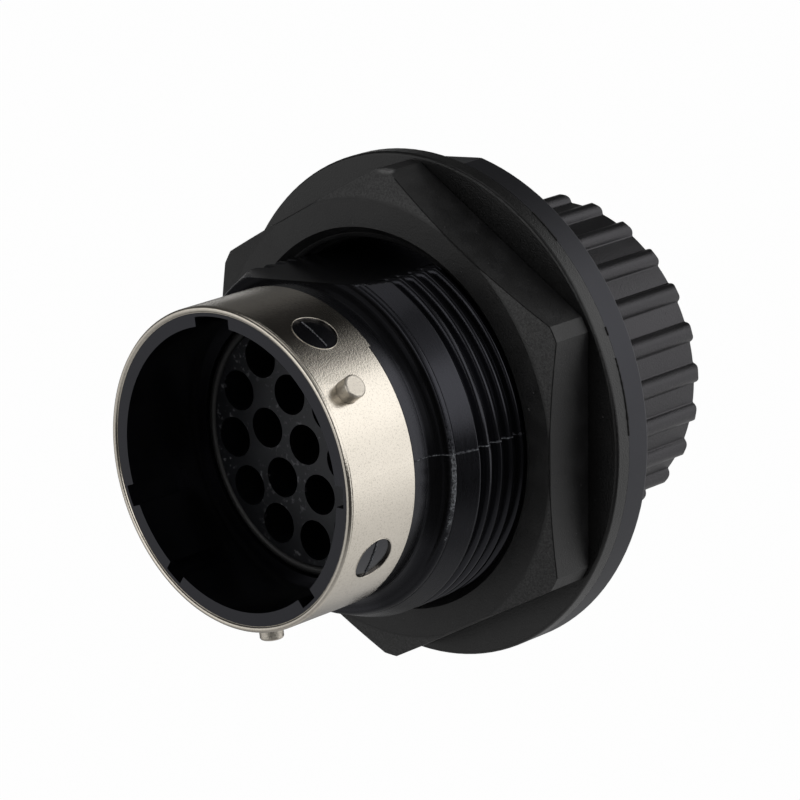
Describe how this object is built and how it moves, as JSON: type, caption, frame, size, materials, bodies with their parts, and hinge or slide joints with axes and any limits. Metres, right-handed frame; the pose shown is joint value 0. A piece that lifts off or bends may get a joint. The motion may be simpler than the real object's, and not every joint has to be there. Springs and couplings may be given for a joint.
{
  "type": "circular connector receptacle",
  "caption": "Panel-mount circular connector receptacle with a plated bayonet sleeve, empty contact pockets, hexagon jam nut, flat gasket, round flange and ribbed rear nut",
  "frame": {"origin": "on the connector's axis, in the plane of the mating face", "axes": "-Y is the way the mating plug leaves, +Y runs to the rear nut, +Z points to the main keyway and the flats, +X is to the right seen from the mating side"},
  "size_m": [0.0412, 0.0402, 0.0412],
  "materials": {
    "shell_plastic": "moulded semi-gloss black with a slight blue cast",
    "nut_plastic": "moulded matte black",
    "insert_plastic": "moulded satin black",
    "seal_rubber": "matte black rubber",
    "plated_metal": "bright nickel plating with fine speckle",
    "spring_steel": "plain spring steel"
  },
  "bodies": {
    "receptacle": {"shell": "shell_plastic", "coupling_sleeve": "plated_metal", "bayonet_pin_1": "plated_metal", "bayonet_pin_2": "plated_metal", "bayonet_pin_3": "plated_metal", "contact_insert": "insert_plastic", "mating_seal": "seal_rubber", "retaining_ring": "spring_steel", "wire_seal": "seal_rubber", "panel_gasket": "seal_rubber"},
    "jam_nut": {"jam_nut": "nut_plastic"},
    "seal_follower": {"seal_follower": "insert_plastic"},
    "rear_nut": {"rear_nut": "nut_plastic"}
  },
  "joints": [
    {"name": "jam_nut_travel", "type": "slide", "parent": "receptacle", "child": "jam_nut", "axis": [0, -1, 0], "range_m": [0, 0.02349]},
    {"name": "seal_follower_travel", "type": "slide", "parent": "receptacle", "child": "seal_follower", "axis": [0, 1, 0], "range_m": [0, 0.006]},
    {"name": "rear_nut_turn", "type": "hinge", "parent": "seal_follower", "child": "rear_nut", "pos_m": [0, 0.0355, 0], "axis": [0, 1, 0], "range_deg": [0, 1440]}
  ],
  "couplings": [
    {"joint": "seal_follower_travel", "follows": "rear_nut_turn", "m_per_rad": 0.00023873}
  ]
}
